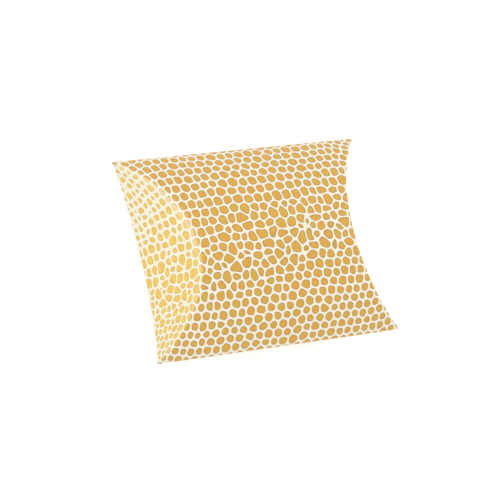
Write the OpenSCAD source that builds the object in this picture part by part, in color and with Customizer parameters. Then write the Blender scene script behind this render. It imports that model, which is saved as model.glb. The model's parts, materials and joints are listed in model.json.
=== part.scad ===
// Pillow-shaped favor box, folded from one creased card blank.
// Two arched panels meet at two straight folds, and a glue tab closes the sleeve along one of them.
// Each end is shut by an inner and an outer flap that turn on curved creases.
// X runs along the straight folds, Y across the box, and Z = 0 is the line that the box rests on.

/* [Box] */
// Length from corner tip to corner tip
box_length = 90; // [75:1:120]
// Width between the two straight folds
box_width = 65; // [52:1:80]
// Height of the filled-out box
box_height = 25; // [20:0.5:30]
// Angle by which a closed flap leans outwards from upright, in degrees
flap_lean = 16; // [12:0.5:22]

/* [Card] */
// Thickness of the card
card = 0.4; // [0.25:0.05:0.55]
// Width of a pressed crease, measured along the card
crease_width = 1.2; // [0.8:0.1:2]
// Radius of the bead that pressing raises inside a straight fold
bead_radius = 0.35; // [0.2:0.05:0.45]

/* [Flaps] */
// Height of the outer flap's free edge above the table
outer_flap_lift = 0.2; // [0.1:0.1:2]
// Free space between a flap and the flap or edge behind it
flap_clearance = 0.3; // [0.2:0.05:0.6]
// Gap between a panel and its flap along the crease
fold_gap = 0.1; // [0.05:0.05:0.2]
// Least width of the inner flap, at its two ends
inner_flap_end = 1.2; // [0.6:0.1:3]

/* [Seam] */
// Width of the glue tab, measured across the box
tab_width = 11; // [8:0.5:14]
// Distance of the glue tab's ends from the curved creases, along the box
tab_inset = 5; // [3:0.5:10]
// Thickness of the glue line
glue_thickness = 0.08; // [0.05:0.01:0.12]
// Distance of the glue line from the edges of the tab
glue_margin = 2; // [1:0.25:3]

/* [Hidden] */

$fn = 240;
// Steps along the outline of a curved crease
crease_steps = 48;
// How far a cutting shape runs past what it cuts
overrun = 1;

printed = [0.84, 0.66, 0.35];
printed_crease = [0.95, 0.88, 0.72];
plain_card = [0.95, 0.94, 0.90];
glue = [0.90, 0.87, 0.70];

// The arch is a circle through both straight folds and the crown
half_length = box_length / 2;
half_width = box_width / 2;
half_height = box_height / 2;
arch_radius = (half_width * half_width + half_height * half_height) / (2 * half_height);
arch_drop = arch_radius - half_height;
edge_angle = asin(half_width / arch_radius);
inner_radius = arch_radius - card;

// A curved crease lies in an end plane that rises from a tip line to the crown at this angle.
// Folding mirrors the card in that plane, so a flap leans by 90 degrees less twice the angle.
end_angle = (90 - flap_lean) / 2;
end_depth = half_height / tan(end_angle);

// Thickness of the card measured straight up, beside a straight fold
slanted_card = card / cos(edge_angle);
// Depth of a flap at arch height z is its rate times z, less its cut.
// The outer flap would reach the back panel's edge, and the inner flap reaches half as far.
outer_rate = 2 / cos(flap_lean);
inner_rate = 1 / cos(flap_lean);
// The inner corner of the outer flap's free edge lies one card lower than the outer corner
outer_cut = (outer_flap_lift + card) / cos(flap_lean);
inner_cut = (slanted_card + flap_clearance) / sin(2 * flap_lean);

// Arch height below which the outer flap has no room outside the back panel's edge
outer_end_height = (slanted_card + flap_clearance) / (2 * sin(flap_lean));
// Arch height at which the inner flap's ends are cut off
inner_end_height = (inner_cut + inner_flap_end) / inner_rate;

// Arch height to which a straight fold's crease reaches up the panel
fold_height = arch_radius * cos(edge_angle - crease_width / arch_radius * 180 / PI) - arch_drop;
// Layers inside the back panel, from its inner side
tab_outer_radius = inner_radius - glue_thickness;
tab_inner_radius = tab_outer_radius - card;
tab_edge = half_width - tab_width;
end_reach = box_height + end_depth;

// Distance from the middle at which the arch of this radius stands z above the seam plane
function arch_y(radius, z) = sqrt(radius * radius - pow(arch_drop + z, 2));
function arch_z(angle) = arch_radius * cos(angle) - arch_drop;

// Shapes below are drawn with the seam plane at z = 0 and the arch above it
module at_seam_height() {
    translate([0, 0, half_height]) children();
}

module turned_over() {
    mirror([0, 0, 1]) children();
}

module left_end() {
    mirror([1, 0, 0]) children();
}

module seam_side() {
    mirror([0, 1, 0]) children();
}

module rod_along_box(radius, length) {
    rotate([0, 90, 0]) cylinder(h = length, r = radius, center = true);
}

// Layer of card between two radii of the arch
module arch_layer(outer, inner, length) {
    translate([0, 0, -arch_drop]) difference() {
        rod_along_box(outer, length);
        rod_along_box(inner, length + 2 * overrun);
    }
}

module slab_between(low, high) {
    translate([-box_length, -box_width, low]) cube([2 * box_length, 2 * box_width, high - low]);
}

module strip_across(near, far) {
    translate([-box_length, near, -box_height]) cube([2 * box_length, far - near, 2 * box_height]);
}

// Everything under the right-hand crease, seen square to its end plane
module under_crease(gap, outward) {
    outline = concat(
        [[half_width + overrun, -end_reach], [half_width + overrun, 0]],
        [for (i = [0 : crease_steps])
            let (a = edge_angle * (1 - 2 * i / crease_steps))
            [arch_radius * sin(a), arch_z(a) / sin(end_angle) - gap]],
        [[-half_width - overrun, 0], [-half_width - overrun, -end_reach]]
    );
    translate([half_length, 0, 0])
        rotate([0, end_angle, 0])
            rotate([0, 0, 90])
                translate([0, 0, -end_reach])
                    linear_extrude(end_reach + outward) polygon(outline);
}

module both_ends_cut(inset) {
    translate([-inset, 0, 0]) under_crease(0, end_reach);
    left_end() translate([-inset, 0, 0]) under_crease(0, end_reach);
}

// The whole arched panel with its creases, from seam plane to crown
module arched_card() {
    difference() {
        intersection() {
            arch_layer(arch_radius, inner_radius, box_length);
            slab_between(0, half_height + overrun);
        }
        both_ends_cut(0);
    }
}

module panel() {
    difference() {
        intersection() {
            arch_layer(arch_radius, inner_radius, box_length);
            slab_between(fold_height, half_height + overrun);
        }
        both_ends_cut(crease_width);
    }
}

// Pressed strip beside the curved crease, at the right-hand end
module end_crease() {
    intersection() {
        arched_card();
        slab_between(fold_height, half_height + overrun);
        translate([-crease_width, 0, 0]) under_crease(0, end_reach);
    }
}

// One side of a straight fold, up to the panel
module fold_leg() {
    intersection() {
        arched_card();
        slab_between(0, fold_height);
        strip_across(0, half_width + overrun);
    }
}

// Closed flap at the right-hand end: the arch beyond the end plane, mirrored in that plane
module flap(rate, cut) {
    top = half_height + card + overrun;
    free_edge = [for (z = [0, top]) [half_length - z / tan(end_angle) + rate * z - cut, z]];
    intersection() {
        translate([half_length, 0, 0])
            mirror([sin(end_angle), 0, cos(end_angle)])
                translate([-half_length, 0, 0])
                    intersection() {
                        arch_layer(arch_radius + card, arch_radius, 2 * box_length);
                        rotate([90, 0, 0])
                            linear_extrude(2 * box_width, center = true)
                                polygon(concat([[0, top], [0, 0]], free_edge));
                    }
        under_crease(fold_gap, 0);
    }
}

// Between the flap's two ends, where its arch height is at least this
module strip_above(end_height) {
    ends = arch_y(arch_radius, end_height);
    strip_across(-ends, ends);
}

module front_panel() {
    color(printed) at_seam_height() panel();
}

// Along the seam the back panel ends in a cut edge, a crease's width from the fold
module back_panel() {
    color(printed) at_seam_height() turned_over() panel();
}

module side_crease() {
    color(printed_crease) at_seam_height() {
        fold_leg();
        turned_over() fold_leg();
        translate([0, arch_y(inner_radius, 0), 0])
            rod_along_box(bead_radius, box_length - 4 * crease_width);
    }
}

// The seam's fold joins the front panel to the glue tab, one layer inside the back panel
module seam_crease() {
    color(printed_crease) at_seam_height() seam_side() {
        fold_leg();
        turned_over() glue_tab_layer(0, fold_height);
        translate([0, (arch_y(inner_radius, 0) + arch_y(tab_outer_radius, 0)) / 2, 0])
            rod_along_box(bead_radius, box_length - 2 * tab_inset);
    }
}

// Part of the glue tab between two arch heights
module glue_tab_layer(low, high) {
    difference() {
        intersection() {
            arch_layer(tab_outer_radius, tab_inner_radius, box_length);
            slab_between(low, high);
            strip_across(tab_edge, half_width);
        }
        both_ends_cut(tab_inset);
    }
}

module glue_tab() {
    color(plain_card) at_seam_height() seam_side() turned_over() glue_tab_layer(fold_height, half_height);
}

module glue_line() {
    color(glue) at_seam_height() seam_side() turned_over() difference() {
        intersection() {
            arch_layer(inner_radius, tab_outer_radius, box_length);
            strip_across(tab_edge + glue_margin, half_width - glue_margin);
            slab_between(fold_height, half_height);
        }
        both_ends_cut(tab_inset + glue_margin);
    }
}

module right_front_crease() {
    color(printed_crease) at_seam_height() end_crease();
}

module right_back_crease() {
    color(printed_crease) at_seam_height() turned_over() end_crease();
}

module left_front_crease() {
    left_end() right_front_crease();
}

module left_back_crease() {
    left_end() right_back_crease();
}

// Near the corner tips the outer flap narrows to stay inside the back panel
module right_outer_flap() {
    color(printed) at_seam_height() difference() {
        flap(outer_rate, outer_cut);
        difference() {
            turned_over() arch_layer(box_width, inner_radius - flap_clearance, 2 * box_length);
            strip_above(outer_end_height);
        }
    }
}

module right_inner_flap() {
    color(printed) at_seam_height() turned_over() intersection() {
        flap(inner_rate, inner_cut);
        strip_above(inner_end_height);
    }
}

module left_outer_flap() {
    left_end() right_outer_flap();
}

module left_inner_flap() {
    left_end() right_inner_flap();
}

front_panel();
back_panel();
side_crease();
seam_crease();
glue_tab();
glue_line();
left_front_crease();
left_back_crease();
right_front_crease();
right_back_crease();
left_outer_flap();
left_inner_flap();
right_outer_flap();
right_inner_flap();
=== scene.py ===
import json
import math
import bpy
from mathutils import Matrix, Vector


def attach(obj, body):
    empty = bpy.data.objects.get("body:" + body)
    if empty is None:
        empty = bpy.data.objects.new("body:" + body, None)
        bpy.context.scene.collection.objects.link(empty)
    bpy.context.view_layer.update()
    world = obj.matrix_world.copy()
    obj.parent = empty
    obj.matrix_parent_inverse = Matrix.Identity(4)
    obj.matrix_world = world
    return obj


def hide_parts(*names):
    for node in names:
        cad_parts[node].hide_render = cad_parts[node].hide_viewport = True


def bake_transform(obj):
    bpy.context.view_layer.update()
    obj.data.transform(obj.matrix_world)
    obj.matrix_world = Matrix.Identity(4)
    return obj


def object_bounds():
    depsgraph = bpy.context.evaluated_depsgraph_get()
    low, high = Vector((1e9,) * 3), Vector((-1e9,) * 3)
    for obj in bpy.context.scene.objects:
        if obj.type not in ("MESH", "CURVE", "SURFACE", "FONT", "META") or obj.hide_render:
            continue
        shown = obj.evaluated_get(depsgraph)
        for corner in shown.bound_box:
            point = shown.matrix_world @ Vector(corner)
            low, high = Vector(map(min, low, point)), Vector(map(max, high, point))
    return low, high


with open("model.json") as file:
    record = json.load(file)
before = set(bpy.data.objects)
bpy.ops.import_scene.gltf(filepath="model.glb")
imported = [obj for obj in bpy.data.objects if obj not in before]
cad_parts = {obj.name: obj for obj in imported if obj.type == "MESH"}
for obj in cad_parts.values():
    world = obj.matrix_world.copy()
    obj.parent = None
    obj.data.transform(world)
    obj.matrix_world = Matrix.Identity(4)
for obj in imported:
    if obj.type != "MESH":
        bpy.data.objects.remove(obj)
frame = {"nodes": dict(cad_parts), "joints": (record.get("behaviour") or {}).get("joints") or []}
mm = 0.001

# the box as the frame gives it: X along the straight folds, Y across, Z up
low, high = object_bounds()
halfLength = (high.x - low.x) / 2
halfWidth = (high.y - low.y) / 2
halfHeight = (high.z - low.z) / 2
seamPlane = low.z + halfHeight
foldJoints = {joint["name"]: joint for joint in frame["joints"]}
crownX = foldJoints["right_outer_fold"]["pos_m"][0]

# a curved crease lies in an end plane that climbs from the tip line to the crown
endAngle = math.atan2(halfHeight, halfLength - crownX)
archRadius = (halfWidth ** 2 + halfHeight ** 2) / (2 * halfHeight)
archDrop = archRadius - halfHeight
edgeAngle = math.asin(halfWidth / archRadius)
halfGirth = archRadius * edgeAngle
print("frame read")

card = {
    "thickness": 0.4 * mm,
    "creaseWidth": 1.2 * mm,
    "panelLeg": 0.5 * mm,     # how far a curved crease rounds into its panel
    "flapLeg": 2.2 * mm,      # and into its flap, at most
    "flapLegShare": 0.35,     # and as a share of the flap's depth
    "noseLeg": 0.45 * mm,     # rounding of a straight fold, each side
    "bead": 0.5 * mm,         # ridge that pressing raises inside a straight fold
    "seamDrop": 0.15 * mm,    # how far the seam's fold leans down into the back panel
    "tipLength": 2.5 * mm,    # over which a straight fold thins out towards a corner tip
    "tipSkin": 0.03 * mm,     # what is left of its thickness there
    "columns": 96,
    "stretchRows": 72,
}
stepCounts = {
    "creaseStrip": 3,
    "creaseBend": 6,
    "flapBend": 9,
    "flapDepth": 26,
    "flapSpots": 80,
    "foldLeg": 3,
    "foldNose": 10,
    "tabRows": 30,
    "tabColumns": 48,
}
foldAngle = edgeAngle - card["creaseWidth"] / archRadius
foldY = archRadius * math.sin(foldAngle)


def archHeight(y, inward=0.0):
    # height of a layer of the arch above the seam plane
    return math.sqrt((archRadius - inward) ** 2 - y ** 2) - archDrop


def creaseX(height):
    return halfLength - height / math.tan(endAngle)


def folded(x, y, z):
    # mirror image in the right-hand end plane, which is how the card turns at a curved crease
    reach = (x - halfLength) * math.sin(endAngle) + z * math.cos(endAngle)
    return Vector((x - 2 * reach * math.sin(endAngle), y, z - 2 * reach * math.cos(endAngle)))


def bend(start, corner, finish, share):
    return start.lerp(corner, share).lerp(corner.lerp(finish, share), share)


def mix(a, b, share):
    return a + (b - a) * share


def smooth(value, start, finish):
    share = min(max((value - start) / (finish - start), 0), 1)
    return share * share * (3 - 2 * share)


def steps(start, finish, count):
    return [mix(start, finish, k / count) for k in range(count + 1)]


def girthSpots():
    # distances from the crown line across a panel, evenly spaced along the card
    return [archRadius * math.sin(angle) for angle in steps(-foldAngle, foldAngle, card["stretchRows"])]


def placed(point, end, side):
    # from the right-hand end of the upper half to the given end and side
    return Vector((point.x * end, point.y, seamPlane + point.z * side))


def onSheet(along, y, end, side):
    # the same place on the flat card, in millimetres from the front panel's middle
    across = archRadius * math.asin(max(-1, min(1, y / archRadius)))
    if side < 0:
        across = 2 * halfGirth - across
    return (end * along / mm, across / mm)


shell = {
    "outerBake": (0.32, 0.68),    # start and height of each side's strip in the bake map
    "innerBake": (0.07, 0.23),
    "edgeBake": 0.05,             # height of the cut edge's strip
    "sharpAngle": 40,             # edges that turn by more degrees than this stay sharp
}
faceSlot, rawSlot, cutSlot = range(3)      # order of the materials on a shell


def inStrip(bake, strip):
    start, height = strip
    return [(x, start + height * y) for x, y in bake]


def cardShell(name, rows, end, side, face, rim=cutSlot):
    # a spot of rows is outer point, inner point, distance along the card and, if need be, across it
    # the rim gets a cut edge, or the printed face where it lies against the next region of the card
    outer = [[placed(spot[0], end, side) for spot in row] for row in rows]
    inner = [[placed(spot[1], end, side) for spot in row] for row in rows]
    sheet = [[onSheet(spot[2], spot[3] if len(spot) > 3 else spot[0].y, end, side) for spot in row]
             for row in rows]
    deep = len(rows)
    wide = len(rows[0])
    count = deep * wide
    points = [p for row in outer + inner for p in row]
    flat = [place for row in sheet + sheet for place in row]
    first = (outer[0][1] - outer[0][0]).cross(outer[1][0] - outer[0][0])
    facesOut = first.dot(outer[0][0] - inner[0][0]) > 0
    quads = []
    for i in range(deep - 1):
        for j in range(wide - 1):
            loop = [(i, j), (i, j + 1), (i + 1, j + 1), (i + 1, j)]
            bake = [(c / (wide - 1), r / (deep - 1)) for r, c in loop]
            under = [count + r * wide + c for r, c in loop[::-1]]
            quads.append(([r * wide + c for r, c in loop], faceSlot, inStrip(bake, shell["outerBake"])))
            quads.append((under, rawSlot, inStrip(bake[::-1], shell["innerBake"])))
    border = [(0, j) for j in range(wide - 1)] + [(i, wide - 1) for i in range(deep - 1)]
    border += [(deep - 1, j) for j in range(wide - 1, 0, -1)] + [(i, 0) for i in range(deep - 1, 0, -1)]
    top = shell["edgeBake"]
    for k, (i, j) in enumerate(border):
        nextI, nextJ = border[(k + 1) % len(border)]
        a = i * wide + j
        b = nextI * wide + nextJ
        left = k / len(border)
        right = (k + 1) / len(border)
        bake = [(right, top), (left, top), (left, 0.0), (right, 0.0)]
        quads.append(([b, a, count + a, count + b], rim, bake))
    if not facesOut:
        quads = [(corners[::-1], kind, bake[::-1]) for corners, kind, bake in quads]
    mesh = bpy.data.meshes.new(name)
    mesh.from_pydata(points, [], [corners for corners, kind, bake in quads])
    sheetMap = mesh.uv_layers.new(name="sheet")
    bakeMap = mesh.uv_layers.new(name="OFBake")
    for polygon, (corners, kind, bake) in zip(mesh.polygons, quads):
        polygon.material_index = kind
        polygon.use_smooth = True
        for loopIndex, corner, spot in zip(polygon.loop_indices, corners, bake):
            sheetMap.data[loopIndex].uv = flat[corner]
            bakeMap.data[loopIndex].uv = spot
    for material in (face, rawCard, cutEdge):
        mesh.materials.append(material)
    mesh.set_sharp_from_angle(angle=math.radians(shell["sharpAngle"]))
    piece = bpy.data.objects.new(name, mesh)
    bpy.context.scene.collection.objects.link(piece)
    return piece


# small helpers for shader nodes
def addNode(tree, kind, values=None, **settings):
    made = tree.nodes.new(kind)
    for key, value in settings.items():
        setattr(made, key, value)
    for key, value in (values or {}).items():
        feed(tree, value, made.inputs[key])
    return made


def feed(tree, value, socket):
    if isinstance(value, bpy.types.NodeSocket):
        tree.links.new(value, socket)
    else:
        socket.default_value = value


def calc(tree, operation, a, b=0.0, c=0.0):
    return addNode(tree, "ShaderNodeMath", {0: a, 1: b, 2: c}, operation=operation).outputs[0]


def plus(tree, a, b):
    return calc(tree, "ADD", a, b)


def minus(tree, a, b):
    return calc(tree, "SUBTRACT", a, b)


def times(tree, a, b):
    return calc(tree, "MULTIPLY", a, b)


def timesPlus(tree, a, b, c):
    return calc(tree, "MULTIPLY_ADD", a, b, c)


def unsigned(tree, a):
    return calc(tree, "ABSOLUTE", a)


def fade(tree, value, start, finish, low=0.0, high=1.0):
    made = addNode(tree, "ShaderNodeMapRange", interpolation_type="SMOOTHSTEP")
    labels = ("Value", "From Min", "From Max", "To Min", "To Max")
    for label, item in zip(labels, (value, start, finish, low, high)):
        feed(tree, item, made.inputs[label])
    return made.outputs["Result"]


def blendColor(tree, share, a, b):
    made = addNode(tree, "ShaderNodeMix", data_type="RGBA")
    for socket, value in zip((made.inputs[0], made.inputs[6], made.inputs[7]), (share, a, b)):
        feed(tree, value, socket)
    return made.outputs[2]


def noise(tree, vector, scale, detail=2.0, roughness=0.5):
    values = {"Vector": vector, "Scale": scale, "Detail": detail, "Roughness": roughness}
    return addNode(tree, "ShaderNodeTexNoise", values).outputs["Fac"]


def enlarged(tree, vector, scale):
    return addNode(tree, "ShaderNodeVectorMath", {0: vector, "Scale": scale}, operation="SCALE").outputs[0]


def addBump(tree, shader, height, strength, distance):
    bump = addNode(tree, "ShaderNodeBump", {"Height": height, "Strength": strength, "Distance": distance})
    feed(tree, bump.outputs[0], shader.inputs["Normal"])


def fromSrgb(red, green, blue):
    channels = [c / 255 for c in (red, green, blue)]
    return tuple(c / 12.92 if c <= 0.04045 else ((c + 0.055) / 1.055) ** 2.4 for c in channels) + (1.0,)


def newGroup(name, inputs, outputs):
    group = bpy.data.node_groups.new(name, "ShaderNodeTree")
    for label, kind, value in inputs:
        socket = group.interface.new_socket(label, in_out="INPUT", socket_type="NodeSocket" + kind)
        if value is not None:
            socket.default_value = value
    for label in outputs:
        group.interface.new_socket(label, in_out="OUTPUT", socket_type="NodeSocketFloat")
    entry = group.nodes.new("NodeGroupInput")
    leave = group.nodes.new("NodeGroupOutput")
    return group, entry.outputs, leave.inputs


def useGroup(tree, group, **values):
    made = addNode(tree, "ShaderNodeGroup", node_tree=group)
    for key, value in values.items():
        feed(tree, value, made.inputs[key])
    return made.outputs


scales = {
    "pitch": 3.55,           # along the box at mid length, in millimetres
    "endTightening": 0.11,   # smaller scales towards both ends
    "rows": 0.337,           # rows to the millimetre
    "rowBias": -0.02,        # fewer of them on the far side than on the near side
    "bandWidth": 9.0,
    "spine": -2.0,           # the irregular band's centre line at mid length
    "climb": 0.26,           # rows that this band climbs with each column
    "bandStart": 2.2,        # in rows from the band's centre
    "bandFinish": 4.6,
    "lean": 0.38,            # each row steps back towards the left as it nears a fold
    "slip": 0.25,
    "flapRows": 0.1,         # more rows to the millimetre at a flap's two ends
    "flapColumns": 0.09,     # and more columns
    "flapMiddle": -0.03,     # but fewer columns in its middle
    "flapRamp": 14.0,        # distance over which the middle turns into the ends
    "flapNear": 0.6,         # share of these changes on the near side
    "nearRange": (-1.0, 1.0),     # about the crown line, where the near side ends
    "flapFrom": 7.0,         # distance from the crown line where they begin
    "flapStart": 32.0,       # distance from mid length where the rows change
    "flapEnd": 54.0,
    "rampSoftness": 4.0,     # in square millimetres, at a curved crease
    "wander": 1.4,           # slow drift of the rows, in millimetres
    "wanderScale": 0.045,
    "wanderDetail": 1.0,
    "probe": 0.1,
    "panelSeed": 40.0,       # keep the draws of panels and rows apart
    "rowSeed": 131.0,
    "calmJitter": 0.22,
    "wildJitter": 0.7,
    "flapOrder": 0.5,        # how much of the calm is left on the flaps
    "stretch": 0.7,          # how far the irregular scales depart from round
    "calmSizes": 0.4,        # spread of the scales' sizes, in millimetres
    "wildSizes": 0.9,
    "farAway": 99.0,         # no scale found yet
    "flapOnset": (-1.0, 3.0),     # past a curved crease, where the panel's print turns into the flap's
    "gap": 0.285,            # half the white gap between two scales
    "crownGap": -0.04,       # a little narrower along the crown line
    "foldGap": 0.03,         # and wider towards the straight folds
    "gapRange": (8.0, 22.0),      # from the crown line
    "flapGapNear": -0.05,    # narrower on a flap's near half
    "flapGapFar": 0.1,       # and wider on its far half
    "flapGapRange": (-14.0, 14.0),
    "corner": 1.9,           # rounding where three scales meet
    "wobble": 0.24,          # unevenness of the scales' outlines
    "wobbleScale": 1.1,
    "softness": 0.08,
    "rimWidth": 0.42,
    "mottleScale": 0.95,
    "mottleDetail": 3.0,
    "mottleRoughness": 0.6,
}


def buildLatticePlace():
    # column and row numbers of a place on the sheet
    inputs = [(label, "Float", 0.0) for label in ("U", "V", "Panel")]
    group, given, out = newGroup("latticePlace", inputs, ("Column", "Row", "Depth"))
    wander = scales["wander"]
    spot = addNode(group, "ShaderNodeCombineXYZ", {0: given["U"], 1: given["V"]}).outputs[0]
    waves = {"Vector": spot, "Scale": scales["wanderScale"], "Detail": scales["wanderDetail"]}
    drift = addNode(group, "ShaderNodeTexNoise", waves)
    drift = addNode(group, "ShaderNodeSeparateColor", {0: drift.outputs["Color"]}).outputs
    u = plus(group, given["U"], timesPlus(group, drift[0], 2 * wander, -wander))
    v = plus(group, given["V"], timesPlus(group, drift[1], 2 * wander, -wander))
    fromCrown = timesPlus(group, given["Panel"], -2 * halfGirth / mm, v)
    creaseCurve = (halfLength - crownX) * mm / halfGirth ** 2
    creaseU = timesPlus(group, times(group, fromCrown, fromCrown), creaseCurve, crownX / mm)
    depth = minus(group, unsigned(group, u), creaseU)
    across = minus(group, fromCrown, scales["spine"])
    soft = calc(group, "SQRT", timesPlus(group, across, across, scales["bandWidth"] ** 2))
    row = timesPlus(group, soft, scales["rowBias"], times(group, across, scales["rows"]))
    beyond = calc(group, "MAXIMUM", minus(group, unsigned(group, fromCrown), scales["flapFrom"]), 0.0)
    beyond = times(group, beyond, fade(group, fromCrown, *scales["nearRange"], scales["flapNear"], 1.0))
    extra = times(group, times(group, beyond, calc(group, "SIGN", fromCrown)), scales["flapRows"])
    outward = fade(group, unsigned(group, u), scales["flapStart"], scales["flapEnd"])
    row = timesPlus(group, extra, outward, row)
    bow = times(group, times(group, u, u), scales["endTightening"] / (halfLength / mm) ** 2)
    column = calc(group, "DIVIDE", times(group, u, plus(group, bow, 1.0)), scales["pitch"])
    ramp = plus(group, depth, calc(group, "SQRT", timesPlus(group, depth, depth, scales["rampSoftness"])))
    rate = fade(group, beyond, 0.0, scales["flapRamp"], scales["flapMiddle"] / 2, scales["flapColumns"] / 2)
    more = times(group, times(group, ramp, rate), calc(group, "SIGN", u))
    feed(group, plus(group, column, more), out["Column"])
    feed(group, row, out["Row"])
    feed(group, depth, out["Depth"])
    return group


def buildScaleSeed():
    # one scale near the shaded point: how far it is, and its own random tone
    # numbers only, no vectors, which keeps the compiled shader small
    labels = ("Column", "PlaceRow", "AlongU", "AlongV", "AcrossU", "AcrossV", "Row", "Step", "Panel",
              "Order")
    inputs = [(label, "Float", 0.0) for label in labels]
    group, given, out = newGroup("scaleSeed", inputs, ("Distance", "Tone"))
    row = given["Row"]
    hashRow = timesPlus(group, given["Panel"], scales["panelSeed"], row)
    luck = addNode(group, "ShaderNodeTexWhiteNoise", {"W": hashRow}, noise_dimensions="1D").outputs["Value"]
    slip = timesPlus(group, unsigned(group, row), -scales["lean"], times(group, luck, scales["slip"]))
    column = plus(group, calc(group, "ROUND", minus(group, given["Column"], slip)), given["Step"])
    fromBand = unsigned(group, timesPlus(group, column, -scales["climb"], row))
    calm = times(group, fade(group, fromBand, scales["bandStart"], scales["bandFinish"]), given["Order"])
    hashBoth = timesPlus(group, hashRow, scales["rowSeed"], column)
    chance = addNode(group, "ShaderNodeTexWhiteNoise", {"W": hashBoth}, noise_dimensions="1D").outputs
    draws = addNode(group, "ShaderNodeSeparateColor", {0: chance["Color"]}).outputs
    jitter = fade(group, calm, 0.0, 1.0, scales["wildJitter"], scales["calmJitter"])
    seedColumn = timesPlus(group, minus(group, draws[0], 0.5), jitter, plus(group, column, slip))
    columnOff = minus(group, given["Column"], seedColumn)
    seedRow = timesPlus(group, minus(group, draws[1], 0.5), jitter, row)
    rowOff = minus(group, given["PlaceRow"], seedRow)
    offU = timesPlus(group, columnOff, given["AlongU"], times(group, rowOff, given["AcrossU"]))
    offV = timesPlus(group, columnOff, given["AlongV"], times(group, rowOff, given["AcrossV"]))
    wildness = fade(group, calm, 0.0, 1.0, scales["stretch"], 0.0)
    stretch = times(group, minus(group, chance["Value"], 0.5), wildness)
    squareU = times(group, times(group, offU, offU), plus(group, 1.0, stretch))
    squareV = times(group, times(group, offV, offV), minus(group, 1.0, stretch))
    distance = calc(group, "SQRT", plus(group, squareU, squareV))
    spread = fade(group, calm, 0.0, 1.0, scales["wildSizes"], scales["calmSizes"])
    size = times(group, minus(group, draws[2], 0.5), spread)
    feed(group, minus(group, distance, size), out["Distance"])
    feed(group, chance["Value"], out["Tone"])
    return group


def buildScalePrint():
    # reptile scales: near-regular rows beside the folds, irregular in the middle
    labels = ("Ink", "Rim", "Tone", "Mottle", "Depth", "Across")
    group, given, out = newGroup("scalePrint", [("Sheet", "Vector", None)], labels)
    place = addNode(group, "ShaderNodeSeparateXYZ", {0: given["Sheet"]}).outputs
    u = place["X"]
    v = place["Y"]
    panel = calc(group, "ROUND", calc(group, "DIVIDE", v, 2 * halfGirth / mm))
    here = useGroup(group, latticePlace, U=u, V=v, Panel=panel)
    probe = scales["probe"]
    besideU = useGroup(group, latticePlace, U=plus(group, u, probe), V=v, Panel=panel)
    besideV = useGroup(group, latticePlace, U=u, V=plus(group, v, probe), Panel=panel)
    columnU, rowU, columnV, rowV = [minus(group, there[key], here[key])
                                    for there in (besideU, besideV) for key in ("Column", "Row")]
    turned = minus(group, times(group, columnU, rowV), times(group, columnV, rowU))
    area = calc(group, "DIVIDE", probe, turned)
    # millimetres on the sheet to the next column and to the next row
    alongU = times(group, rowV, area)
    alongV = times(group, times(group, rowU, area), -1.0)
    acrossU = times(group, times(group, columnV, area), -1.0)
    acrossV = times(group, columnU, area)
    shared = timesPlus(group, alongU, acrossU, times(group, alongV, acrossV))
    squared = timesPlus(group, acrossU, acrossU, times(group, acrossV, acrossV))
    shear = calc(group, "DIVIDE", shared, squared)
    order = fade(group, here["Depth"], *scales["flapOnset"], 1.0, scales["flapOrder"])
    first = second = third = scales["farAway"]
    tone = 0.0
    for columnStep in (-1.0, 0.0, 1.0):
        nearRow = calc(group, "ROUND", timesPlus(group, shear, -columnStep, here["Row"]))
        for rowStep in (-1.0, 0.0, 1.0):
            seed = useGroup(group, scaleSeed, Column=here["Column"], PlaceRow=here["Row"], AlongU=alongU,
                            AlongV=alongV, AcrossU=acrossU, AcrossV=acrossV, Panel=panel, Step=columnStep,
                            Order=order, Row=plus(group, nearRow, rowStep))
            closer = calc(group, "LESS_THAN", seed["Distance"], first)
            third = calc(group, "MINIMUM", third, calc(group, "MAXIMUM", second, seed["Distance"]))
            second = calc(group, "MINIMUM", second, calc(group, "MAXIMUM", first, seed["Distance"]))
            first = calc(group, "MINIMUM", first, seed["Distance"])
            tone = timesPlus(group, closer, minus(group, seed["Tone"], tone), tone)
    border = calc(group, "SMOOTH_MIN", minus(group, second, first), minus(group, third, first),
                  scales["corner"])
    fromCrown = timesPlus(group, panel, -2 * halfGirth / mm, v)
    panelGap = fade(group, unsigned(group, fromCrown), *scales["gapRange"], scales["crownGap"],
                    scales["foldGap"])
    flapGap = fade(group, fromCrown, *scales["flapGapRange"], scales["flapGapNear"], scales["flapGapFar"])
    moreGap = fade(group, here["Depth"], *scales["flapOnset"], panelGap, flapGap)
    inside = minus(group, timesPlus(group, border, 0.5, -scales["gap"]), moreGap)
    uneven = noise(group, given["Sheet"], scales["wobbleScale"])
    inside = plus(group, inside, timesPlus(group, uneven, scales["wobble"], -scales["wobble"] / 2))
    mottle = noise(group, given["Sheet"], scales["mottleScale"], scales["mottleDetail"],
                   scales["mottleRoughness"])
    feed(group, fade(group, inside, -scales["softness"], scales["softness"]), out["Ink"])
    feed(group, fade(group, inside, 0.0, scales["rimWidth"], 1.0, 0.0), out["Rim"])
    feed(group, tone, out["Tone"])
    feed(group, mottle, out["Mottle"])
    feed(group, here["Depth"], out["Depth"])
    feed(group, fromCrown, out["Across"])
    return group


cardStock = {
    "layers": (                # two crossed layers of fibres
        {"Rotation": (0, 0, 0.5), "Scale": (1.2, 7.0, 1)},
        {"Rotation": (0, 0, -0.8), "Scale": (1.6, 8.0, 1)},
    ),
    "detail": 4.0,
    "roughness": 0.65,
    "cloudScale": 0.35,
    "cloudDetail": 3.0,
}


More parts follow.
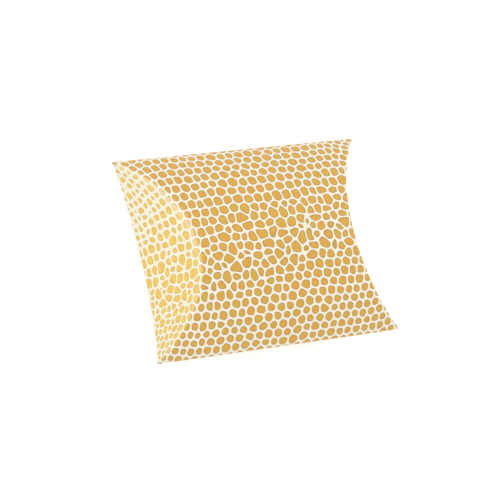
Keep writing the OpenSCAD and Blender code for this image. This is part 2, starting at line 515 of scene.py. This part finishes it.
def buildCardFibre():
    # short crossed fibres and a fine grain, at the sheet's own scale
    inputs = [("Sheet", "Vector", None), ("Scale", "Float", 1.0)]
    group, given, out = newGroup("cardFibre", inputs, ("Fibre", "Cloud"))
    sized = enlarged(group, given["Sheet"], given["Scale"])
    fibres = []
    for laid in cardStock["layers"]:
        layer = addNode(group, "ShaderNodeMapping", {"Vector": sized, **laid}).outputs[0]
        fibres.append(noise(group, layer, 1.0, cardStock["detail"], cardStock["roughness"]))
    feed(group, calc(group, "MAXIMUM", *fibres), out["Fibre"])
    feed(group, noise(group, sized, cardStock["cloudScale"], cardStock["cloudDetail"]), out["Cloud"])
    return group


def sheetCoordinates(tree):
    return addNode(tree, "ShaderNodeUVMap", uv_map="sheet").outputs[0]


def newMaterial(name):
    material = bpy.data.materials.new(name)
    material.use_nodes = True
    tree = material.node_tree
    shader = tree.nodes["Principled BSDF"]
    return material, tree, shader


inks = {
    "orange": fromSrgb(232, 159, 69),
    "olive": fromSrgb(210, 182, 72),
    # painted light: a brighter, yellower lit copy of the print and the paper for the flaps
    "litFlapOrange": fromSrgb(238, 183, 88),
    "litFlapYellow": fromSrgb(230, 207, 94),
    "rim": fromSrgb(158, 138, 92),
    "litFlapRim": fromSrgb(206, 180, 112),
    "paper": fromSrgb(253, 242, 220),
    "litFlapPaper": fromSrgb(255, 248, 224),
    "toneHue": 0.25,              # how much a scale's own tone turns its ink to olive
    "mottleHue": 0.75,            # and how much the mottle does
    "mottleRange": (0.38, 0.62),
    "rimStrength": 0.8,
    "flapOnset": (-1.2, 1.6),     # past a curved crease, in millimetres, where the flap's painted light sets in
    "rubRange": (0.55, 0.75),     # fibres where a pressed crease loses its ink
    "highlightStart": (0.0, 0.5),      # painted highlight: a paler band on the flap's side of a curved crease, where its rounding catches the light
    "highlightFinish": (0.9, 3.6),
    "highlightAcross": (-8.0, 6.0),
    "highlightStrength": (0.1, 0.38),    # share of the ink that this painted highlight pales, on the near side and on the far side
    "foldWear": 0.75,             # ink lost along the top of a straight fold
    "foldWearRange": (0.25, 0.7),
    "metallic": 0.35,
    "inkRoughness": 0.42,
    "paperRoughness": 0.46,
    "cloudRoughness": 0.08,
    "bump": (0.1, 0.02 * mm),     # strength and distance
}


def buildPrintedCard(name, rubbed):
    # coated card with the scales in gold ink; rubbed is how much ink a pressed crease has lost. It also
    # carries painted light: a brighter, yellower lit copy of the print and paper on the flaps, and a
    # painted highlight that pales the ink past a curved crease
    material, tree, shader = newMaterial(name)
    sheet = sheetCoordinates(tree)
    scale = useGroup(tree, scalePrint, Sheet=sheet)
    fibre = useGroup(tree, cardFibre, Sheet=sheet, Scale=1.0)
    mottle = fade(tree, scale["Mottle"], *inks["mottleRange"], 0.0, inks["mottleHue"])
    hue = timesPlus(tree, scale["Tone"], inks["toneHue"], mottle)
    ink = blendColor(tree, hue, inks["orange"], inks["olive"])
    # painted light: the flaps get a brighter, yellower lit copy of the print and its rims
    litFlapInk = blendColor(tree, hue, inks["litFlapOrange"], inks["litFlapYellow"])
    flapLightShare = fade(tree, scale["Depth"], *inks["flapOnset"])
    ink = blendColor(tree, flapLightShare, ink, litFlapInk)
    rim = blendColor(tree, flapLightShare, inks["rim"], inks["litFlapRim"])
    ink = blendColor(tree, times(tree, scale["Rim"], inks["rimStrength"]), ink, rim)
    # real wear: ink rubbed off the raised fibres of a pressed crease
    wearAndHighlight = fade(tree, fibre["Fibre"], *inks["rubRange"], 0.0, rubbed)
    # painted highlight: the ink pales towards the paper in a band on the flap's side of a curved crease,
    # more on the far side, where the rounding catches the light
    highlightBand = times(tree, fade(tree, scale["Depth"], *inks["highlightStart"]),
                    fade(tree, scale["Depth"], *inks["highlightFinish"], 1.0, 0.0))
    highlightStrength = fade(tree, scale["Across"], *inks["highlightAcross"], *inks["highlightStrength"])
    wearAndHighlight = calc(tree, "MAXIMUM", wearAndHighlight, times(tree, highlightBand, highlightStrength))
    toFold = minus(tree, halfGirth / mm, unsigned(tree, scale["Across"]))
    wearAndHighlight = calc(tree, "MAXIMUM", wearAndHighlight, fade(tree, toFold, *inks["foldWearRange"], inks["foldWear"], 0.0))
    cover = times(tree, scale["Ink"], minus(tree, 1.0, wearAndHighlight))
    # painted light: brighter paper on the flaps
    paperWithFlapLight = blendColor(tree, flapLightShare, inks["paper"], inks["litFlapPaper"])
    gloss = timesPlus(tree, cover, inks["inkRoughness"] - inks["paperRoughness"], inks["paperRoughness"])
    roughness = timesPlus(tree, fibre["Cloud"], inks["cloudRoughness"], gloss)
    feed(tree, blendColor(tree, cover, paperWithFlapLight, ink), shader.inputs["Base Color"])
    feed(tree, times(tree, cover, inks["metallic"]), shader.inputs["Metallic"])
    feed(tree, roughness, shader.inputs["Roughness"])
    addBump(tree, shader, fibre["Fibre"], *inks["bump"])
    return material


rawSide = {
    "light": fromSrgb(240, 236, 226),
    "dark": fromSrgb(226, 219, 204),
    "cloud": fromSrgb(233, 229, 220),
    "fibreScale": 1.3,
    "fibreRange": (0.45, 0.8),
    "cloudRange": (0.4, 0.7),
    "cloudStrength": 0.4,
    "roughRange": (0.4, 0.8),
    "roughness": (0.78, 0.92),
    "bump": (0.35, 0.03 * mm),
}


def buildRawCard():
    # uncoated inside of the box
    material, tree, shader = newMaterial("rawCard")
    fibre = useGroup(tree, cardFibre, Sheet=sheetCoordinates(tree), Scale=rawSide["fibreScale"])
    tint = blendColor(tree, fade(tree, fibre["Fibre"], *rawSide["fibreRange"]), rawSide["light"],
                      rawSide["dark"])
    cloud = fade(tree, fibre["Cloud"], *rawSide["cloudRange"], 0.0, rawSide["cloudStrength"])
    feed(tree, blendColor(tree, cloud, tint, rawSide["cloud"]), shader.inputs["Base Color"])
    roughness = fade(tree, fibre["Fibre"], *rawSide["roughRange"], *rawSide["roughness"])
    feed(tree, roughness, shader.inputs["Roughness"])
    addBump(tree, shader, fibre["Fibre"], *rawSide["bump"])
    return material


dieCut = {
    "dark": fromSrgb(206, 196, 178),
    "light": fromSrgb(236, 230, 218),
    "grain": (3.5, 4.0, 0.7),         # scale, detail and roughness of the noise
    "tintRange": (0.35, 0.65),
    "roughRange": (0.3, 0.7),
    "roughness": (0.75, 0.95),
    "bump": (0.5, 0.04 * mm),
}
gluePaste = {
    "dark": fromSrgb(226, 216, 176),
    "light": fromSrgb(240, 234, 208),
    "grain": (0.8, 3.0),
    "roughRange": (0.3, 0.7),
    "roughness": (0.28, 0.45),
    "bump": (0.3, 0.05 * mm),
}


def buildGrained(name, look):
    # die-cut edge with the layers of the board, or the ripple of dried glue
    material, tree, shader = newMaterial(name)
    spot = enlarged(tree, addNode(tree, "ShaderNodeTexCoord").outputs["Object"], 1 / mm)
    grain = noise(tree, spot, *look["grain"])
    share = fade(tree, grain, *look["tintRange"]) if "tintRange" in look else grain
    feed(tree, blendColor(tree, share, look["dark"], look["light"]), shader.inputs["Base Color"])
    feed(tree, fade(tree, grain, *look["roughRange"], *look["roughness"]), shader.inputs["Roughness"])
    addBump(tree, shader, grain, *look["bump"])
    return material


creaseRub = 0.35              # share of its ink that a pressed crease has lost on raised fibres
latticePlace = buildLatticePlace()
scaleSeed = buildScaleSeed()
scalePrint = buildScalePrint()
cardFibre = buildCardFibre()
printedCard = buildPrintedCard("printedCard", 0.0)
printedCrease = buildPrintedCard("printedCrease", creaseRub)
rawCard = buildRawCard()
cutEdge = buildGrained("cutEdge", dieCut)
driedGlue = buildGrained("driedGlue", gluePaste)
print("materials made")


def panelSpot(x, y):
    return Vector((x, y, archHeight(y))), Vector((x, y, archHeight(y, card["thickness"]))), x


def roundedCrease(y, flapLeg, share):
    # one spot of the rounding that carries the card from the panel over the crease
    top = archHeight(y)
    under = archHeight(y, card["thickness"])
    over = archHeight(y, -card["thickness"])
    x = creaseX(top)
    leg = card["panelLeg"]
    innerX = x - (top - under) * math.tan(endAngle)
    outer = bend(Vector((x - leg, y, top)), Vector((x, y, top)), folded(x + flapLeg, y, top), share)
    inner = bend(Vector((x - leg, y, under)), Vector((innerX, y, under)), folded(x + flapLeg, y, over),
                 share)
    return outer, inner, x + flapLeg * share ** 2 - leg * (1 - share) ** 2


def flapSpot(y, depth):
    top = archHeight(y)
    x = creaseX(top) + depth
    return folded(x, y, top), folded(x, y, archHeight(y, -card["thickness"])), x


outerFlap = {
    "lift": 0.2 * mm,            # its free edge above the table
    "clearance": 0.3 * mm,       # inside the back panel, near the corner tips
    "tipHeight": 1.5 * mm,       # arch height under which it has to stay inside
    "freeHeight": 2.4 * mm,
    "tuck": 0.12 * mm,
}
innerFlap = {
    "clearance": 0.3 * mm,
    "endDepth": 1.2 * mm,
    "endRounding": 1.6 * mm,
    "endShare": 0.45,            # share of its depth that is left right at its ends
}


def outerFlapDepth(y):
    height = archHeight(y)
    swing = math.sin(2 * endAngle)
    cut = (outerFlap["lift"] + card["thickness"]) / swing
    room = (height + archHeight(y, card["thickness"] + outerFlap["clearance"])) / swing - outerFlap["tuck"]
    full = 2 * height / swing - cut
    return mix(room, full, smooth(height, outerFlap["tipHeight"], outerFlap["freeHeight"]))


def innerFlapCut():
    slanted = card["thickness"] / math.cos(edgeAngle)
    return (slanted + innerFlap["clearance"]) / math.sin(math.pi - 4 * endAngle)


def innerFlapReach():
    # where its two ends are cut off
    height = (innerFlapCut() + innerFlap["endDepth"]) * math.sin(2 * endAngle)
    return math.sqrt(archRadius ** 2 - (archDrop + height) ** 2)


def innerFlapDepth(y):
    whole = archHeight(y) / math.sin(2 * endAngle) - innerFlapCut()
    fromEnd = innerFlapReach() - abs(y)
    rest = max(0, 1 - fromEnd / innerFlap["endRounding"])
    return whole * mix(innerFlap["endShare"], 1, math.sqrt(max(0, 1 - rest * rest)))


def flapLegAt(depth):
    return min(card["flapLeg"], card["flapLegShare"] * depth)


def meetingShare(flapLeg):
    # where the pressed strip ends and the flap begins, part way round the bend
    return card["panelLeg"] / (card["panelLeg"] + flapLeg)


def buildPanel(name, side):
    rows = []
    for y in girthSpots():
        reach = creaseX(archHeight(y)) - card["creaseWidth"]
        rows.append([panelSpot(x, y) for x in steps(-reach, reach, card["columns"])])
    return cardShell(name, rows, 1, side, printedCard)


def buildEndCrease(name, end, side, depthAt):
    rows = []
    for y in girthSpots():
        edge = creaseX(archHeight(y))
        leg = flapLegAt(depthAt(y))
        flatPart = steps(edge - card["creaseWidth"], edge - card["panelLeg"], stepCounts["creaseStrip"])
        shares = steps(0, meetingShare(leg), stepCounts["creaseBend"])
        rows.append([panelSpot(x, y) for x in flatPart[:-1]] + [roundedCrease(y, leg, s) for s in shares])
    return cardShell(name, rows, end, side, printedCrease, faceSlot)


def buildFlap(name, end, side, spots, depthAt):
    rows = []
    for y in spots:
        depth = depthAt(y)
        leg = flapLegAt(depth)
        shares = steps(meetingShare(leg), 1, stepCounts["flapBend"])
        depths = steps(leg, depth, stepCounts["flapDepth"])
        rows.append([roundedCrease(y, leg, s) for s in shares] + [flapSpot(y, d) for d in depths[1:]])
    places = [(spot[0].y, spot[2]) for row in rows for spot in row]
    return cardShell(name, rows, end, side, printedCard), places


def flapSpots(reach):
    # closer together towards the two ends, where the outline turns most
    quarter = math.pi / 2
    return [reach * math.sin(angle) for angle in steps(-quarter, quarter, stepCounts["flapSpots"])]


def foldProfile():
    # the arch's last stretch above a straight fold, and the nose where the fold's rounding begins
    noseAngle = edgeAngle - card["noseLeg"] / archRadius
    inset = archRadius * math.sin(noseAngle)
    leg = [Vector((0, archRadius * math.sin(a), archRadius * math.cos(a) - archDrop))
           for a in steps(foldAngle, noseAngle, stepCounts["foldLeg"])]
    return leg[:-1], Vector((0, inset, archHeight(inset)))


def buildSideCrease(name):
    # straight fold between the front and the back panel
    leg, nose = foldProfile()
    corner = Vector((0, halfWidth, 0))
    back = Vector((0, nose.y, -nose.z))
    outer = leg + [bend(nose, corner, back, share) for share in steps(0, 1, stepCounts["foldNose"])]
    outer += [Vector((0, p.y, -p.z)) for p in leg[::-1]]
    under = archHeight(foldY, card["thickness"])
    innerY = math.sqrt((archRadius - card["thickness"]) ** 2 - archDrop ** 2)
    ends = [Vector((0, foldY, under)), Vector((0, innerY - card["bead"], 0)), Vector((0, foldY, -under))]
    inner = [bend(*ends, share) for share in steps(0, 1, len(outer) - 1)]
    return foldStrip(name, outer, inner, 1, printedCrease)


tab = {
    "width": 11 * mm,
    "inset": 5 * mm,
    "glue": 0.08 * mm,
    "rounding": 3 * mm,
}
tabOuter = archRadius - card["thickness"] - tab["glue"]
tabInner = tabOuter - card["thickness"]
foldHeight = archHeight(foldY)


def onTabLayer(radius, drop):
    # spot of a layer of the glue tab, this far below the seam plane
    return Vector((0, math.sqrt(radius ** 2 - (archDrop + drop) ** 2), -drop))


def buildSeamCrease(name):
    # straight fold that leads from the front panel to the glue tab, inside the back panel
    leg, nose = foldProfile()
    tuck = onTabLayer(tabOuter, card["bead"])
    corner = Vector((0, halfWidth - card["thickness"] / 2, -card["seamDrop"]))
    outer = leg + [bend(nose, corner, tuck, share) for share in steps(0, 1, stepCounts["foldNose"])]
    outer.append(onTabLayer(tabOuter, foldHeight))
    under = Vector((0, foldY, archHeight(foldY, card["thickness"])))
    ends = [under, Vector((0, foldY - card["bead"], 0)), onTabLayer(tabInner, foldHeight)]
    inner = [bend(*ends, share) for share in steps(0, 1, len(outer) - 1)]
    return foldStrip(name, outer, inner, -1, printedCrease)


def foldStrip(name, outer, inner, hand, face):
    # runs a straight fold's cross-section from one corner tip to the other, thinning out at both tips
    rows = []
    travelled = foldAngle * archRadius
    for k, (a, b) in enumerate(zip(outer, inner)):
        if k:
            travelled += (a - outer[k - 1]).length
        reach = creaseX(abs(a.z))
        innerReach = reach - abs(a.z - b.z) * math.tan(endAngle)
        row = []
        for x in steps(-reach, reach, card["columns"]):
            top = Vector((x, a.y * hand, a.z))
            under = Vector((x * innerReach / reach, b.y * hand, b.z))
            thin = smooth(abs(x), reach - card["tipLength"], reach)
            under = under.lerp(top + (under - top).normalized() * card["tipSkin"], thin)
            row.append((top, under, x, archRadius * math.sin(hand * travelled / archRadius)))
        rows.append(row)
    return cardShell(name, rows, 1, 1, face, faceSlot)


def buildGlueTab(name):
    start = math.asin(onTabLayer(tabOuter, foldHeight).y / tabOuter)
    finish = math.asin((halfWidth - tab["width"]) / tabOuter)
    rows = []
    for angle in steps(start, finish, stepCounts["tabRows"]):
        y = tabOuter * math.sin(angle)
        height = tabOuter * math.cos(angle) - archDrop
        fromEdge = (angle - finish) * tabOuter
        rest = max(0, 1 - fromEdge / tab["rounding"])
        reach = creaseX(archHeight(y)) - (archHeight(y) - height) * math.tan(endAngle) - tab["inset"]
        reach -= tab["rounding"] * (1 - math.sqrt(max(0, 1 - rest * rest)))
        innerY = tabInner * math.sin(angle)
        innerHeight = tabInner * math.cos(angle) - archDrop
        rows.append([(Vector((x, -y, height)), Vector((x, -innerY, innerHeight)), x)
                     for x in steps(-reach, reach, stepCounts["tabColumns"])])
    return cardShell(name, rows, 1, -1, rawCard)


def settle(piece, node, body=None):
    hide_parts(node)
    if body:
        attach(piece, body)


for side, panelName in ((1, "front_panel"), (-1, "back_panel")):
    settle(buildPanel("card_" + panelName, side), panelName, "sleeve")
settle(buildSideCrease("card_side_crease"), "side_crease", "sleeve")
settle(buildSeamCrease("card_seam_crease"), "seam_crease", "sleeve")
settle(buildGlueTab("card_glue_tab"), "glue_tab", "sleeve")
for slotItem in frame["nodes"]["glue_line"].material_slots:
    slotItem.material = driedGlue
print("sleeve made")


def foldWith(flap, depth):
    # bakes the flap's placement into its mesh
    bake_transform(flap)


for end, endName in ((-1, "left"), (1, "right")):
    for side, sideName, kind, depthAt in ((1, "front", "outer", outerFlapDepth),
                                          (-1, "back", "inner", innerFlapDepth)):
        creaseNode = endName + "_" + sideName + "_crease"
        flapNode = endName + "_" + kind + "_flap"
        strip = buildEndCrease("card_" + creaseNode, end, side, depthAt)
        settle(strip, creaseNode, "sleeve")
        spots = flapSpots(foldY if kind == "outer" else innerFlapReach())
        flap, places = buildFlap("card_" + flapNode, end, side, spots, depthAt)
        settle(flap, flapNode)
        foldWith(flap, depthAt(0))
print("creases and flaps made")


paper = {
    "reach": 3.0,       # half its length, in metres
    "dark": (0.86, 0.86, 0.86, 1),
    "light": (0.89, 0.89, 0.89, 1),
    "grainScale": 60.0,
    "roughness": 0.9,
    "glow": 0.5,        # only for the camera and for reflections
    "bounce": 0.55,     # share of the paper's brightness that it passes on to the box
}
black = (0, 0, 0, 1)
white = (1, 1, 1, 1)


def buildFloor():
    # white paper sweep; only the camera and reflections see it as pure white, and the shadow stays
    mesh = bpy.data.meshes.new("floorSweep")
    reach = paper["reach"]
    corners = [(-reach, -reach, 0), (reach, -reach, 0), (reach, reach, 0), (-reach, reach, 0)]
    mesh.from_pydata(corners, [], [(0, 1, 2, 3)])
    floor = bpy.data.objects.new("floorSweep", mesh)
    bpy.context.scene.collection.objects.link(floor)
    material, tree, shader = newMaterial("whiteSweep")
    seen = addNode(tree, "ShaderNodeLightPath").outputs
    grain = noise(tree, addNode(tree, "ShaderNodeTexCoord").outputs["Object"], paper["grainScale"])
    tint = blendColor(tree, grain, paper["dark"], paper["light"])
    passed = timesPlus(tree, seen["Is Diffuse Ray"], paper["bounce"] - 1, 1.0)
    feed(tree, blendColor(tree, passed, black, tint), shader.inputs["Base Color"])
    shader.inputs["Roughness"].default_value = paper["roughness"]
    shader.inputs["Emission Color"].default_value = white
    feed(tree, times(tree, seenDirectly(tree, seen), paper["glow"]), shader.inputs["Emission Strength"])
    mesh.materials.append(material)


def seenDirectly(tree, seen):
    mirrored = calc(tree, "MAXIMUM", seen["Is Glossy Ray"], seen["Is Transmission Ray"])
    return calc(tree, "MAXIMUM", seen["Is Camera Ray"], mirrored)


studio = {
    "sky": 0.85,
    "key": {"direction": (-0.8, 0.05, 0.55), "distance": 0.9, "size": 0.6, "watts": 1.9},
    "fill": {"direction": (0.2, 0.5, 0.8), "distance": 1.0, "size": 1.0, "watts": 0.5},
}


def buildLight(name, lamp):
    data = bpy.data.lights.new(name, "AREA")
    data.shape = "SQUARE"
    data.size = lamp["size"]
    data.energy = lamp["watts"]
    light = bpy.data.objects.new(name, data)
    toward = Vector(lamp["direction"]).normalized()
    light.location = Vector((0, 0, seamPlane)) + toward * lamp["distance"]
    light.rotation_euler = toward.to_track_quat("Z", "Y").to_euler()
    bpy.context.scene.collection.objects.link(light)


def buildSky():
    world = bpy.data.worlds.new("studioSky")
    bpy.context.scene.world = world
    world.use_nodes = True
    tree = world.node_tree
    background = tree.nodes["Background"].inputs
    seen = addNode(tree, "ShaderNodeLightPath").outputs
    feed(tree, calc(tree, "MAXIMUM", seenDirectly(tree, seen), studio["sky"]), background["Strength"])
    background["Color"].default_value = white


buildFloor()
buildLight("keySoftbox", studio["key"])
buildLight("fillSoftbox", studio["fill"])
buildSky()

# the viewpoint of the photo
view = {
    "place": Vector((-417.5, -146.8, 689.39)) * mm,
    "forward": Vector((0.513294, 0.1814, -0.838822)),
    "right": Vector((0.851942, -0.225642, 0.472526)),
    "lens": 185.34,
    "sensor": 36.0,
    "nearest": 0.01,
}
cameraData = bpy.data.cameras.new("studioCamera")
cameraData.lens = view["lens"]
cameraData.sensor_width = view["sensor"]
cameraData.clip_start = view["nearest"]
camera = bpy.data.objects.new("studioCamera", cameraData)
backward = -view["forward"].normalized()
rightward = view["right"].normalized()
upward = backward.cross(rightward)
camera.matrix_world = Matrix((rightward, upward, backward)).transposed().to_4x4()
camera.location = view["place"]
bpy.context.scene.collection.objects.link(camera)
bpy.context.scene.camera = camera
bpy.context.scene.view_settings.view_transform = "Standard"
print("stage, lights and camera set")
